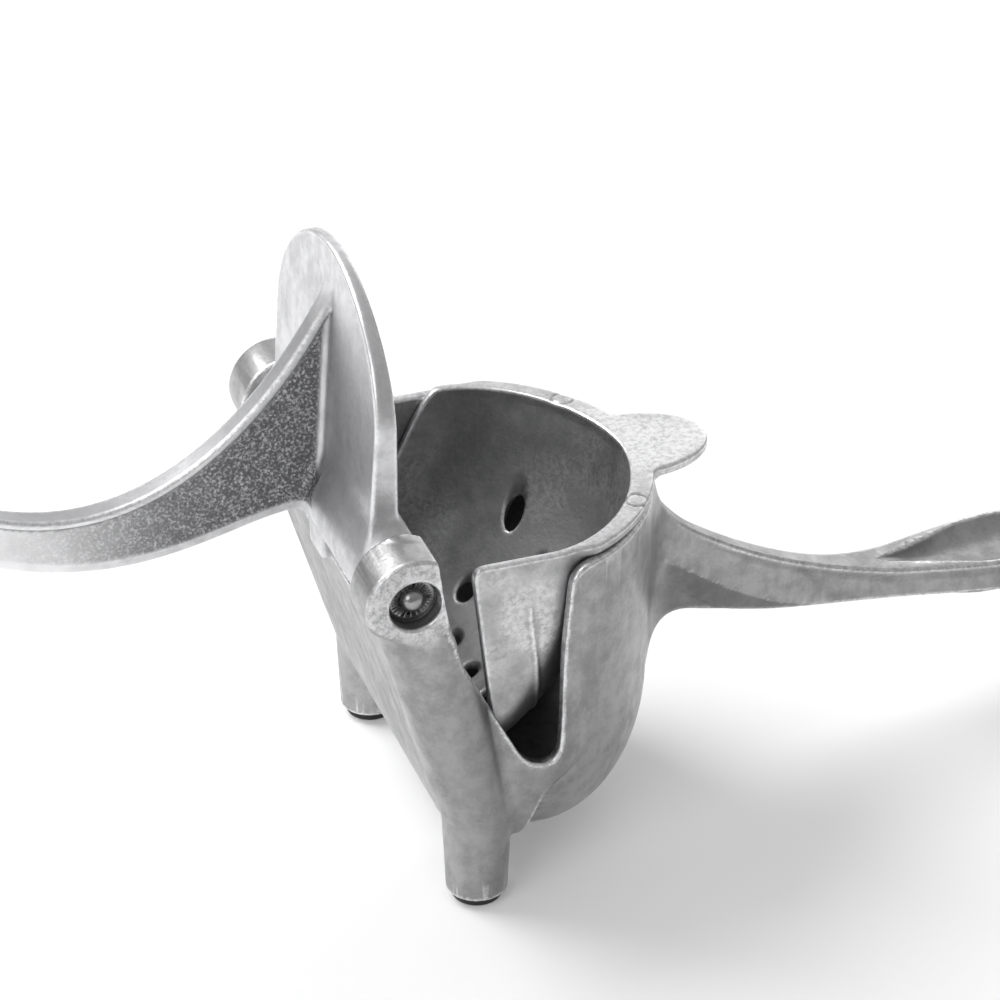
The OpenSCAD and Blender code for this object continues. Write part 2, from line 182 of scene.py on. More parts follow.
def dOutline(x, y, front, half, nose, power):  # superellipse level over its own slope
    along = np.maximum(x - (front - nose), 0) / nose
    across = np.abs(y) / half
    level = (along**power + across**power + 1e-9) ** (1 / power)
    steep = np.hypot(along ** (power - 1) / nose, across ** (power - 1) / half) / level ** (power - 1)
    return (level - 1) / np.maximum(steep, 0.012)


def ellipseEnd(along, y, reach, half):  # straight sides closed by half an ellipse
    u = np.maximum(along, 0) / reach
    v = np.abs(y) / half
    level = np.hypot(u, v) + 1e-6
    return (level - 1) * level / (np.hypot(u / reach, v / half) + 1e-6)


def roundFoot(side, rise, wide, high):  # wall and floor joined by a quarter ellipse
    u = np.maximum(side + wide, 0) / wide
    v = np.maximum(high - rise, 0) / high
    level = np.hypot(u, v) + 1e-6
    steep = np.hypot(u / wide, v / high) / level + 1e-6
    return np.where(level > 1e-3, (level - 1) / steep, np.maximum(side, -rise))


def roundPost(x, y, z, start, end, startRadius, endRadius):  # round cone along a line
    d = np.subtract(end, start)
    x, y, z = x - start[0], y - start[1], z - start[2]
    t = np.clip((x * d[0] + y * d[1] + z * d[2]) / (d @ d), 0, 1)
    away = np.sqrt((x - t * d[0]) ** 2 + (y - t * d[1]) ** 2 + (z - t * d[2]) ** 2)
    return away - mix(startRadius, endRadius, t)


def bezier(p, u):  # cubic curve through its two end points
    p = np.asarray(p, float)
    u = u[:, None]
    return (1 - u) ** 3 * p[0] + 3 * u * (1 - u) ** 2 * p[1] + 3 * u * u * (1 - u) * p[2] + u**3 * p[3]


def surfaceNet(value, axes):
    # one point in every cell that the surface crosses, at the mean of its crossed
    # edges, and one quad round every crossed grid edge
    inside = value < 0
    count = np.zeros(tuple(n - 1 for n in value.shape), np.uint8)
    for a in (0, 1):
        for b in (0, 1):
            for c in (0, 1):
                count += inside[a : a - 1 or None, b : b - 1 or None, c : c - 1 or None]
    cell = np.array(np.nonzero((count > 0) & (count < 8)))
    number = np.full(count.shape, -1, np.int32)
    number[tuple(cell)] = np.arange(cell.shape[1])
    total = np.zeros(cell.shape)
    hits = np.zeros(cell.shape[1])
    for axis in range(3):
        others = [k for k in range(3) if k != axis]
        for a in (0, 1):
            for b in (0, 1):
                corner = np.zeros(3, int)
                corner[others] = a, b
                ahead = corner.copy()
                ahead[axis] = 1
                first = value[tuple(cell + corner[:, None])]
                second = value[tuple(cell + ahead[:, None])]
                crossed = (first < 0) != (second < 0)
                t = np.where(crossed, first / np.where(crossed, first - second, 1), 0)
                spot = cell + corner[:, None].astype(float)
                spot[axis] += t
                total += spot * crossed
                hits += crossed
    total /= hits
    points = np.array([np.interp(spots, np.arange(len(line)), line) for spots, line in zip(total, axes)]).T
    quads = []
    for axis in range(3):
        trim = [slice(1, -1)] * 3
        trim[axis] = slice(None, -1)
        lower = inside[tuple(trim)]
        trim[axis] = slice(1, None)
        spot = np.array(np.nonzero(lower != inside[tuple(trim)]))
        leaving = lower[tuple(spot)]
        first, second = [k for k in range(3) if k != axis]
        spot[first] += 1
        spot[second] += 1
        around = []
        for a, b in ((-1, -1), (0, -1), (0, 0), (-1, 0)):
            near = spot.copy()
            near[first] += a
            near[second] += b
            around.append(number[tuple(near)])
        quad = np.array(around).T
        turned = leaving if axis == 1 else ~leaving
        quad[turned] = quad[turned][:, ::-1]
        quads.append(quad)
    return points, np.concatenate(quads)


def fillCorners(value):
    # where a grid face has only two opposite corners inside, all four are put inside,
    # so that every edge of the net has two faces
    for one, two in ((0, 1), (0, 2), (1, 2)) * 3:
        inside = value < 0
        near, far = slice(None, -1), slice(1, None)
        corners = []
        for first, second in ((near, near), (far, far), (far, near), (near, far)):
            part = [slice(None)] * 3
            part[one], part[two] = first, second
            corners.append(inside[tuple(part)])
        split = (corners[0] == corners[1]) & (corners[2] == corners[3]) & (corners[0] != corners[2])
        spot = np.array(np.nonzero(split))
        for first, second in ((0, 0), (1, 1), (1, 0), (0, 1)):
            corner = spot.copy()
            corner[one] += first
            corner[two] += second
            value[tuple(corner)] = np.minimum(value[tuple(corner)], -0.001)  # only just inside


def slopeOf(field, points, gap):  # field and its slope at each point
    x, y, z = points.T
    value = field(x, y, z)
    slope = np.array([
        field(x + gap, y, z) - field(x - gap, y, z),
        field(x, y + gap, z) - field(x, y - gap, z),
        field(x, y, z + gap) - field(x, y, z - gap),
    ]).T / (2 * gap)
    return value, slope


def bendOf(field, points, gap):  # second differences, high on outside edges
    x, y, z = points.T
    around = (field(x + gap, y, z) + field(x - gap, y, z) + field(x, y + gap, z) + field(x, y - gap, z)
              + field(x, y, z + gap) + field(x, y, z - gap))
    return (around - 6 * field(x, y, z)) / gap**2


def steps(*runs):  # grid lines along one axis: (from, to, step) runs put end to end
    return np.concatenate([np.arange(low, high - step / 2, step) for low, high, step in runs])


meshSet = {
    "gap": 0.05, "most": 0.3, "flattest": 0.3, "margin": 0.01, "rounds": 3,  # moving points on to the surface
    "bendGap": 0.5, "wearFrom": 0.42, "wearRun": 1.1, "cornerShadeFrom": 0.25,
}


def slideOn(field, points, axes, s=meshSet):  # along the slope on to the surface, each inside its own cell
    cells = [np.searchsorted(line, spots, "right") for line, spots in zip(axes, points.T)]
    cells = [cell.clip(1, len(line) - 1) for line, cell in zip(axes, cells)]
    least = np.array([line[cell - 1] for line, cell in zip(axes, cells)]).T + s["margin"]
    greatest = np.array([line[cell] for line, cell in zip(axes, cells)]).T - s["margin"]
    for again in range(s["rounds"]):
        height, slope = slopeOf(field, points, s["gap"])
        move = np.clip(height / np.maximum((slope**2).sum(1), s["flattest"]), -s["most"], s["most"])
        points = np.clip(points - move[:, None] * slope, least, greatest)
    return points


def quadMesh(name, points, quads):  # points are in mm from the hinge axis
    mesh = bpy.data.meshes.new(name)
    mesh.vertices.add(len(points))
    mesh.vertices.foreach_set("co", ((points + [0, 0, hingeHeight]) * 0.001).astype(np.float32).ravel())
    mesh.loops.add(quads.size)
    mesh.loops.foreach_set("vertex_index", quads.astype(np.int32).ravel())
    mesh.polygons.add(len(quads))
    mesh.polygons.foreach_set("loop_start", np.arange(0, quads.size, 4, dtype=np.int32))
    mesh.update(calc_edges=True)
    mesh.validate()
    return mesh


def thinMesh(piece, ratio):  # collapses the flattest edges
    thick = piece.data
    thin = piece.modifiers.new("thin", "DECIMATE")
    thin.ratio = ratio
    graph = bpy.context.evaluated_depsgraph_get()
    piece.data = bpy.data.meshes.new_from_object(piece.evaluated_get(graph))
    piece.modifiers.remove(thin)
    bpy.data.meshes.remove(thick)
    piece.data.name = piece.name


def markPiece(piece, field, marks, s=meshSet):
    # stores worn outside edges, painted shade in inside corners and the piece's own marks as attributes
    mesh = piece.data
    spots = np.empty(len(mesh.vertices) * 3, np.float32)
    mesh.vertices.foreach_get("co", spots)
    spots = spots.reshape(-1, 3).astype(float) * 1000 - [0, 0, hingeHeight]
    bend = bendOf(field, spots, s["bendGap"])
    wear = np.clip((bend - s["wearFrom"]) / s["wearRun"], 0, 1)
    # corner is painted shade in inside corners
    values = {"wear": wear, "corner": np.clip(-bend - s["cornerShadeFrom"], 0, 1)}
    values.update({markName: mark(*spots.T) for markName, mark in marks.items()})
    for markName, value in values.items():
        layer = mesh.attributes.new(markName, "FLOAT", "POINT")
        layer.data.foreach_set("value", np.asarray(value, np.float32))


def castPiece(name, field, axes, most, marks):  # most is the most triangles that the piece may have
    x, y, z = [line.astype(np.float32) for line in axes]
    value = field(x[:, None, None], y[None, :, None], z[None, None, :])
    value = np.array(np.broadcast_to(value, (len(x), len(y), len(z))), np.float32)
    fillCorners(value)
    points, quads = surfaceNet(value, axes)
    piece = bpy.data.objects.new(name, quadMesh(name, slideOn(field, points, axes), quads))
    bpy.context.scene.collection.objects.link(piece)
    if 2 * len(quads) > most:
        thinMesh(piece, most / (2 * len(quads)))
    piece.data.shade_smooth()
    markPiece(piece, field, marks)
    print(name, "made:", len(quads), "faces thinned to", len(piece.data.polygons))
    return piece


bowlSet = {
    "front": 60.5, "half": 36.2, "nose": 30.0, "power": 1.8, "wall": 2.4, "draft": 0.02,
    "rim": -4.0, "backRim": -13.0, "backCut": 8.0, "floor": -69.0, "floorThick": 4.2,
    "roundWide": 14.0, "roundHigh": 24.0,
    "back": -3.0, "backStraight": 10.0, "backSlope": 0.25, "backCosine": 0.97, "backCorner": 7.0,
    "lug": 9.4, "lugEnd": 44.0, "mouth": 4.85, "mouthFloor": 40.6, "bore": 4.0,
    "ribTop": (1.5, 36.7, -4.0), "ribRadius": 8.0, "knee": -55.0, "kneeRadius": 6.7,
    "postEnd": -76.0, "postRadius": 5.8,
    "footX": 15.0, "footY": 33.0, "footEnd": -73.0, "pad": 4.9, "padTop": -70.5,
    "edge": 0.7, "joint": 1.4, "handleFillet": 12.0,
}
beakSet = {
    "deep": 3.4, "left": 8.0, "crease": 28.0, "lean": 0.26, "bottom": -44.0,
    "run": 2.6, "shoulder": 14.0, "sharpFrom": -40.0, "top": -18.0, "sideFrom": 8.0,
}
notchSet = {  # the left edge as pairs of z and x
    "left": [(-46, 24.5), (-42, 22.5), (-16, 9.3), (-11, 8.4), (-7, 6.9), (-3, 5.9), (9.5, 4.2)],
    "bend": -16.0, "lowerCosine": 0.89, "upperCosine": 0.96,
    "right": 29.5, "rightAt": 42.0, "rightCosine": 0.996, "rightSine": 0.0885,
    "bottom": -44.2, "round": 4.0, "inner": 29.8,
    "seam": 0.34, "seamAway": 0.9, "seamWide": 0.4, "seamTop": -3.0, "seamEnd": -15.0,
}
handleSet = {
    "start": 50.0, "tip": 198.0, "endRound": 14.0, "low": -40.0, "thick": 6.5, "half": 10.25, "stem": 2.7,
    "level": 118.0, "rootRun": 50.0, "rootRise": 19.0, "risePower": 1.9, "rootDeep": 14.0, "deepPower": 1.6,
    "widenFrom": 94.0, "widenRun": 52.0, "droopFrom": 140.0, "droop": 28.5,
    "scoopFrom": 112.0, "scoop": 3.0, "scoopRim": 1.5, "keel": 4.6, "keelHalf": 0.7, "keelSlope": 0.43,
    "partingFrom": 60.0, "partingRun": 44.0, "partingHigh": 0.42, "partingLow": 0.95,
    "draftAbove": 0.05, "draftBelow": 0.26, "draftMost": 1.6,
    "groove": 0.22, "grooveDrop": 1.9, "grooveWide": 0.7, "grooveFrom": 72.0,
}


def handleTop(x, s=handleSet):  # a steep fall from the wall, a level stretch and a droop
    climb = np.maximum(s["level"] - x, 0) / s["rootRun"]
    fall = ease((x - s["droopFrom"]) / (s["tip"] - s["droopFrom"] - 2))
    return s["rootRise"] * climb ** s["risePower"] + s["low"] - s["droop"] * fall


def handleDepth(x, s=handleSet):  # deepest at the wall, by a power of the way left to the level stretch
    return s["thick"] + s["rootDeep"] * (np.maximum(s["level"] - x, 0) / s["rootRun"]) ** s["deepPower"]


def partingLine(x, s=handleSet):  # height where the mould halves met, a share of the depth below the top
    share = mix(s["partingHigh"], s["partingLow"], ease((x - s["partingFrom"]) / s["partingRun"]))
    return handleTop(x) - handleDepth(x) * share


def handleField(x, y, z, s=handleSet):
    # an upright slab between the top and the bottom curve, closed by half an ellipse,
    # scooped on top, keeled below, and drafted both ways from the parting line
    top = handleTop(x)
    slope = handleTop(x + 0.5) - handleTop(x - 0.5)
    tilt = 1 / np.sqrt(1 + slope**2)
    depth = handleDepth(x)
    half = mix(s["stem"], s["half"], ease((x - s["widenFrom"]) / s["widenRun"]))
    opening = np.sqrt(np.clip((x - s["scoopFrom"]) / 20, 0.01, 1))
    closing = np.sqrt(np.clip((s["tip"] - 2 - x) / s["endRound"], 0.01, 1))
    scoopHalf = (half - s["scoopRim"]) * opening * closing
    scoopDeep = s["scoop"] * ease((x - s["scoopFrom"] + 2) / 16) * ease((s["tip"] - x) / s["endRound"])
    scoop = scoopDeep * np.maximum(1 - np.abs(y / scoopHalf) ** 3, 0)
    keelDeep = s["keel"] * ease((x - s["scoopFrom"]) / 24) * ease((s["tip"] - s["endRound"] - x) / 20)
    keel = keelDeep * np.clip((s["keelHalf"] * half - np.abs(y)) / (s["keelSlope"] * half), 0, 1)
    parting = partingLine(x)
    groove = s["groove"] * np.exp(-(((z - top + s["grooveDrop"]) / s["grooveWide"]) ** 2))
    groove = groove * ease((x - s["grooveFrom"]) / 8)
    above = s["draftAbove"] * (z - parting)
    below = np.minimum(s["draftBelow"] * (parting - z), s["draftMost"])
    lean = np.where(z > parting, above, below)
    side = ellipseEnd(x - s["tip"] + s["endRound"], y, s["endRound"], half) + lean + groove
    upper = (z - top + scoop) * tilt
    lower = (top - depth - keel - z) * tilt
    return softMax(softMax(side, softMax(upper, lower, 1.0), 0.9), s["start"] - x, 1)


def shadeBelowPartingAndLegs(x, y, z):  # painted shade and a rougher skin below the handle's parting line; darker and rougher on the legs' lower parts
    handle = ease((partingLine(x) - z + 0.15) / 0.5) * ease((x - handleSet["partingFrom"] - 2) / 6)
    leg = ease((np.abs(y) - bowlSet["half"] - 0.3) / 2) * ease((-12 - z) / 16) * (x < handleSet["start"] - 10)
    return handle + 0.4 * leg


def beakSwell(x, y, z, s=beakSet):  # an eased rise to the crease, a short fall after it, faded up and inwards
    crease = s["crease"] + s["lean"] * np.minimum(0, z - s["bottom"])
    run = mix(s["shoulder"], s["run"], ease((s["sharpFrom"] - z) / 16))  # sharpens downwards
    before = ease((x - s["left"]) / (crease - s["left"]))
    along = np.where(x < crease, before, ease((crease + run - x) / run))
    level = ease((s["top"] - z) / 24) * ease((z - bowlSet["floor"] - 1) / 8)
    return s["deep"] * along * level * ease((-y - s["sideFrom"]) / 14)


def bowlSkin(x, y, z, inward, s=bowlSet):  # the outer skin, or the inner one a wall further in
    depth = np.maximum(s["rim"] - z, 0)
    side = dOutline(x, y, s["front"], s["half"], s["nose"], s["power"]) + s["draft"] * depth + inward
    rise = z - s["floor"] - (s["floorThick"] if inward > 0 else 0)
    back = s["back"] + s["backSlope"] * np.maximum(depth - s["backStraight"], 0)
    back = (back - x) * s["backCosine"] + inward
    skin = roundFoot(side, rise, s["roundWide"], s["roundHigh"]) - beakSwell(x, y, z)
    return softMax(skin, roundFoot(back, rise, s["roundWide"] / 2, s["roundHigh"]), s["backCorner"])


def notchEdge(z, s=notchSet):  # x of the notch's left edge, with its corners rounded by averaging
    heights, places = zip(*s["left"])
    return sum(np.interp(z + shift, heights, places) for shift in (-1.6, -0.8, 0, 0.8, 1.6)) / 5


def notchField(x, z, s=notchSet):  # a V between its left edge, a steep right edge and a short bottom
    left = (notchEdge(z) - x) * np.where(z < s["bend"], s["lowerCosine"], s["upperCosine"])
    right = (x - s["right"]) * s["rightCosine"] - (z + s["rightAt"]) * s["rightSine"]
    return softMax(softMax(left, right, s["round"]), s["bottom"] - z, s["round"])


def flashSeam(x, y, z, s=notchSet):  # a rough seam beside the notch edge: a bell across, two sines along
    wave = 0.65 + 0.35 * np.sin(5.1 * z + 2 * np.sin(2.3 * z))
    bell = np.exp(-(((x - notchEdge(z) + s["seamAway"]) / s["seamWide"]) ** 2))
    return s["seam"] * wave * bell * ease((s["seamTop"] - z) / 2) * ease((z - s["seamEnd"]) / 3) * (y < -36)


def legField(x, side, z, s=bowlSet):  # a slanting rib from the lug to the knee, and an upright post below
    knee = (s["footX"], s["footY"], s["knee"])
    end = (s["footX"], s["footY"], s["postEnd"])
    rib = roundPost(x, side, z, s["ribTop"], knee, s["ribRadius"], s["kneeRadius"])
    post = roundPost(x, side, z, knee, end, s["kneeRadius"], s["postRadius"])
    foot = softMax(np.minimum(rib, post), s["footEnd"] - z, 0.4)
    return softMax(foot, side - s["lugEnd"] + 0.1, 1.5)


def bowlField(x, y, z, s=bowlSet):  # wall, legs, lugs and handle joined, then what is hollow taken out
    side = np.abs(y)
    ring = np.hypot(x, z)
    notch = notchField(x, z)
    top = softMin(z - s["rim"], ring - s["lug"] + 0.3, 2)
    wall = softMax(bowlSkin(x, y, z, 0), np.where(y < -15, softMax(top, -notch, 5), top), s["edge"])
    lugEdge = mix(1.1, 5.0, ease((-z - 1) / 8))  # crisp at the top, melting into the leg below
    lug = softMax(softMax(ring - s["lug"], side - s["lugEnd"], lugEdge), s["half"] - s["wall"] - side, 0.5)
    solid = softMin(softMin(wall, legField(x, side, z), s["joint"]), lug, s["joint"]) - flashSeam(x, y, z)
    solid = softMax(solid, side - s["lugEnd"], 0.2)
    solid = softMin(solid, handleField(x, y, z), s["handleFillet"])
    solid = softMax(solid, -bowlSkin(x, y, z, s["wall"]), s["edge"])
    backGap = softMax(x - s["backCut"], side - s["half"] + s["wall"], 1)
    solid = softMax(solid, -softMax(backGap, s["backRim"] - z, 1), s["edge"])
    solid = softMax(solid, -np.maximum(notch, y + notchSet["inner"]), 0.6)
    solid = softMax(solid, s["bore"] - ring, 0.3)
    solid = softMax(solid, -softMax(ring - s["mouth"], s["mouthFloor"] - side, 0.4), 0.9)
    pad = np.hypot(x - s["footX"], side - s["footY"]) - s["pad"]
    return softMax(solid, -np.maximum(pad, z - s["padTop"]), 0.3)


leverSet = {
    "plate": 51.0, "plateHalf": 30.2, "crown": 24.0, "crownPower": 1.9, "face": 1.5, "foot": -2.0,
    "rootThick": 6.0, "tipThick": 2.6, "thinFrom": 2.0, "edge": 0.8,
    "rootFillet": 5.0, "armFillet": 2.4, "armFilletTop": 1.2, "heelFillet": 1.5,
    "knuckle": 7.4, "knuckleHalf": 33.4, "bore": 4.05,
    "heel": -12.7, "heelHalf": 4.0, "heelBack": -5.5, "heelFront": 1.2,
    "flange": 2.4, "grip": 9.5, "gripFrom": -76.0, "gripRun": 50.0, "tip": -197.0, "endRound": 14.0,
    "gripSkin": 3.0, "hollowFrom": -84.0, "hollowHalf": 0.68,
    "scoop": 1.6, "scoopFrom": -112.0, "scoopHalf": 0.85,
    "webInset": 0.8, "lip": 1.3, "bevel": 1.1, "bevelHigh": 2.4, "webRun": 34.0,
    "top": [
        [(0.3, 47.5), (-10, 25), (-36.3, -8.8), (-72, 10.5)],
        [(-72, 10.5), (-98, 24.6), (-156.8, 51.8), (-196, 74)],
    ],
    "bottom": [
        [(0.3, -6.6), (-12, 7), (-33, -20.6), (-72, -1.2)],
        [(-72, -1.2), (-100, 12.9), (-157.8, 43.8), (-198, 68.5)],
    ],
}


def edgeLine(curves):  # height of the arm's edge at x, from its two cubic curves
    u = np.linspace(0, 1, 300)
    way = np.concatenate([bezier(curve, u) for curve in curves])[::-1]
    return lambda x: np.interp(x, way[:, 0], way[:, 1])


armTop, armBottom = edgeLine(leverSet["top"]), edgeLine(leverSet["bottom"])


def armEdges(x, z):  # distance above the top edge, distance below the bottom edge, and the arm's depth
    upper, lower = armTop(x), armBottom(x)
    upperTilt = 1 / np.sqrt(1 + (armTop(x + 0.5) - armTop(x - 0.5)) ** 2)
    lowerTilt = 1 / np.sqrt(1 + (armBottom(x + 0.5) - armBottom(x - 0.5)) ** 2)
    return (z - upper) * upperTilt, (lower - z) * lowerTilt, (upper - lower) * upperTilt


def plateThick(z, s=leverSet):  # thins evenly from the knuckle to the plate's tip
    share = np.clip((z - s["thinFrom"]) / (s["plate"] - s["thinFrom"]), 0, 1)
    return mix(s["rootThick"], s["tipThick"], share)


def webSink(x, z, s=leverSet):  # how far the side is sunk: under the top lip, and bevelled at the bottom
    upper, lower, deep = armEdges(x, z)
    fade = 1 - ease((s["gripFrom"] - x) / s["webRun"])
    bevel = s["bevel"] * np.clip((s["bevelHigh"] + lower) / s["bevelHigh"], 0, 1)
    return (s["webInset"] * ease((-upper - s["lip"]) / 0.6) + bevel) * fade


def sandAndShadeMark(x, y, z, s=leverSet):  # where the web's sand finish shows, with painted shade strongest beside the plate
    upper, lower, deep = armEdges(x, z)
    band = ease((-upper - s["lip"] - 0.3) / 0.8) * ease((-lower - s["bevelHigh"] + 0.2) / 0.8)
    band = band * (1 - ease((-96 - x) / s["webRun"]))
    backFace = s["face"] - plateThick(z)
    inner = ease((6 - np.abs(y)) / 1.2) * ease((backFace - 0.9 - x) / 0.9)
    # the mark is strongest beside the plate and fades to the left: painted shade there on top of the sand
    # finish
    return band * mix(0.02, 1, ease((x + 74) / 58)) * inner


def armTopShade(x, y, z):  # painted shade and a rougher skin on the arm's top strip
    upper, lower, deep = armEdges(x, z)
    return ease((upper + 0.6) / 0.4) * ease((-3 - x) / 3) * (1 - ease((-90 - x) / 24))


def gripLightMark(x, y, z):  # painted light: the arm is paler towards the grip
    return ease((-34 - x) / 40)


def armField(x, y, z, s=leverSet):
    # an upright slab between the two edge curves that widens to the grip, with the web
    # sunk, the grip scooped on top and hollow below
    upper, lower, deep = armEdges(x, z)
    half = mix(s["flange"], s["grip"], ease((s["gripFrom"] - x) / s["gripRun"]))
    scoopEnds = ease((s["scoopFrom"] - x) / 22) * ease((x - s["tip"] - 4) / s["endRound"])
    scoop = s["scoop"] * scoopEnds * np.maximum(1 - (y / (s["scoopHalf"] * half)) ** 2, 0)
    hollow = np.maximum(deep - s["gripSkin"], 0) * ease((s["hollowFrom"] - x) / 30)
    hollow = hollow * ease((x - s["tip"] - 3) / s["endRound"])
    hollow = hollow * ease((s["hollowHalf"] * half - np.abs(y)) / 1.6)
    outline = ellipseEnd(s["tip"] + s["endRound"] - x, y, s["endRound"], half) + webSink(x, z)
    arm = softMax(outline, softMax(upper + scoop, lower + hollow, s["edge"]), 0.7)
    return np.maximum(arm, x + s["face"])


def leverField(x, y, z, s=leverSet):  # plate, knuckle, arm and heel joined, then the bore taken out
    side = np.abs(y)
    ring = np.hypot(x, z)
    slab = softMax(x - s["face"], s["face"] - plateThick(z) - x, 0.5)
    plate = softMax(dOutline(z, y, s["plate"], s["plateHalf"], s["crown"], s["crownPower"]), slab, s["edge"])
    plate = np.maximum(plate, s["foot"] - z)
    knuckle = softMax(ring - s["knuckle"], side - s["knuckleHalf"], 1.0)
    armFillet = mix(s["armFillet"], s["armFilletTop"], ease((z - 30) / 14))
    solid = softMin(softMin(plate, knuckle, s["rootFillet"]), armField(x, y, z), armFillet)
    solid = np.maximum(solid, x - s["face"] - 2 + 2 * ease((z - 9) / 6))
    heel = softMax(side - s["heelHalf"], np.maximum(s["heelBack"] - x, x - s["heelFront"]), 1)
    solid = softMin(solid, softMax(heel, np.maximum(s["heel"] - z, z), 1), s["heelFillet"])
    return softMax(solid, s["bore"] - ring, 0.3)


strainerSet = {
    "half": 33.5, "front": 57.8, "nose": 27.3, "noseShrink": 0.12, "wall": 1.8, "draft": 0.02, "power": 1.8,
    "sweep": 58.85, "sweepX": -0.5, "sweepZ": 4.0, "rim": -4.0, "top": -1.6,
    "flangeFront": 61.0, "flangeHalf": 34.8, "flangeNose": 30.5, "flangeFade": 3.4,
    "tab": 15.7, "tabHalf": 11.0, "tabMiddle": -2.6, "tabThick": 2.4,
    "hole": 2.0, "holeTop": -12.0, "holeEdge": 0.8, "edge": 0.6, "cornerRound": 3.0, "tabFillet": 1.5,
    "middleHoles": [25, 35.5, 44],
    "sideHoles": [(25, 10.4), (31, 18), (36.2, 13), (42, 8.8), (42, 20.5)],
    "marks": [(51.6, 20.2), (51.6, -20.2)], "markRadius": 2.1, "markDeep": 0.25,
    "openZ": [-80, -51.85, 0.2], "openX": [23.2, 20, 14],
    "ridge": 0.3, "ridgeAway": 10.0, "ridgeTop": -11.0,
    "waveX": 14.0, "waveRun": 17.0, "waveLow": -24.0, "waveFrom": 20.0,
}


def openEdge(z, s=strainerSet):  # x of the slanted open side
    return np.interp(z, s["openZ"], s["openX"])


def strainerSkin(x, y, z, s=strainerSet):  # D plan whose front follows an arc about the hinge
    z = np.minimum(z, s["rim"])
    depth = s["rim"] - z
    run = np.sqrt(np.maximum(s["sweep"] ** 2 - (z - s["sweepZ"]) ** 2, 1))
    front = s["sweepX"] + run
    nose = np.maximum(np.minimum(s["nose"] - s["noseShrink"] * depth, 0.75 * (front - 3)), 1)
    half = s["half"] - s["draft"] * depth
    p = s["power"]
    along = np.maximum(x - (front - nose), 0) / nose
    across = np.abs(y) / half
    level = (along**p + across**p + 1e-9) ** (1 / p)
    slopeX, slopeY = along ** (p - 1) / nose, across ** (p - 1) / half
    lean = (z - s["sweepZ"]) / run
    steep = np.sqrt(slopeX**2 * (1 + lean**2) + slopeY**2) / level ** (p - 1)
    return (level - 1) / np.maximum(steep, 0.012)


def drainHoles(x, y, s=strainerSet):  # distance outside the nearest upright hole
    pairs = [(a, side * b) for a, b in s["sideHoles"] for side in (-1, 1)]
    spots = [(a, 0) for a in s["middleHoles"]] + pairs
    return np.minimum.reduce([np.hypot(x - a, y - b) for a, b in spots]) - s["hole"]


def strainerField(x, y, z, s=strainerSet):  # shell, flange and tab joined, then the open sides and holes cut
    skin = strainerSkin(x, y, z)
    mark = sum(np.exp(-(((np.hypot(x - a, y - b) - s["markRadius"]) / 0.4) ** 2)) for a, b in s["marks"])
    top = z - s["top"] + s["markDeep"] * mark
    openX = openEdge(z)
    corner = softMax(top, (openX - x) * 0.99, s["cornerRound"])
    ridge = s["ridge"] * np.exp(-(((x - openX - s["ridgeAway"]) / 0.5) ** 2))
    ridge = ridge * (y < -15) * ease((s["ridgeTop"] - z) / 2)
    solid = softMax(skin - ridge, top, 0.5)
    outer = dOutline(x, y, s["flangeFront"], s["flangeHalf"], s["flangeNose"], s["power"])
    outer = outer + s["flangeFade"] * (1 - ease((x - 30) / 10))
    flange = softMax(outer, softMax(top, s["rim"] + 0.05 - z, 0.4), 0.8)
    tab = ellipseEnd(x - s["front"], y, s["tab"], s["tabHalf"])
    tab = softMax(tab, np.abs(z - s["tabMiddle"]) - s["tabThick"] / 2, 0.9)
    tab = np.maximum(tab, s["front"] - 3 - x)
    solid = softMin(softMin(solid, flange, 0.8), tab, s["tabFillet"])
    solid = softMax(solid, -(skin + s["wall"]), s["edge"])
    solid = softMax(solid, corner, s["edge"])
    high = s["top"] - s["waveLow"]
    share = np.clip((x - s["waveX"]) / s["waveRun"], 0, 1)
    wave = mix(s["waveLow"], s["top"], ease(share))  # the far side's cut-away corner
    slope = high * np.pi / (2 * s["waveRun"]) * np.sin(np.pi * share)
    cutAway = np.where(y > s["waveFrom"], (z - wave) / np.sqrt(1 + slope**2), -5)
    solid = softMax(solid, cutAway, s["edge"])
    return softMax(solid, -np.maximum(drainHoles(x, y), z - s["holeTop"]), s["holeEdge"])


def lathePiece(name, radius, height, around, axis):  # a profile turned round an upright or level axis
    turn = np.linspace(0, 2 * np.pi, around, endpoint=False)
    ringX = np.outer(radius[1:-1], np.cos(turn))
    ringY = np.outer(radius[1:-1], np.sin(turn))
    ringZ = np.repeat(height[1:-1, None], around, 1)
    points = np.stack([ringX, ringY, ringZ], -1).reshape(-1, 3)
    points = np.concatenate([[[0, 0, height[0]]], points, [[0, 0, height[-1]]]])
    rows, last = len(radius) - 2, len(points) - 1
    here = 1 + np.arange(rows * around).reshape(rows, around)
    there = np.roll(here, -1, 1)
    quads = np.stack([here[:-1], there[:-1], there[1:], here[1:]], -1).reshape(-1, 4)
    lower = [(0, b, a) for a, b in zip(here[0], there[0])]
    upper = [(last, a, b) for a, b in zip(here[-1], there[-1])]
    if axis == "Y":  # z goes to y and y to minus z, a plain quarter turn
        points = np.stack([points[:, 0], points[:, 2], -points[:, 1]], -1)
    mesh = bpy.data.meshes.new(name)
    faces = [tuple(quad) for quad in quads.tolist()] + lower + upper
    mesh.from_pydata([tuple(point) for point in points * 0.001], [], faces)
    mesh.shade_smooth()
    piece = bpy.data.objects.new(name, mesh)
    bpy.context.scene.collection.objects.link(piece)
    return piece


def shiftMesh(piece, x, y, z):  # moves the mesh in mm, and leaves the object at the origin
    piece.data.transform(Matrix.Translation((x * 0.001, y * 0.001, z * 0.001)))


pinSet = {
    "radius": 3.98, "head": 4.5, "headRim": 0.4, "floor": 40.6, "edge": 0.3,
    "ball": 2.5, "rise": 2.2, "ballReach": 100.0, "around": 96,
}
padSet = {"radius": 4.88, "height": 4.45, "edge": 0.7, "around": 64}


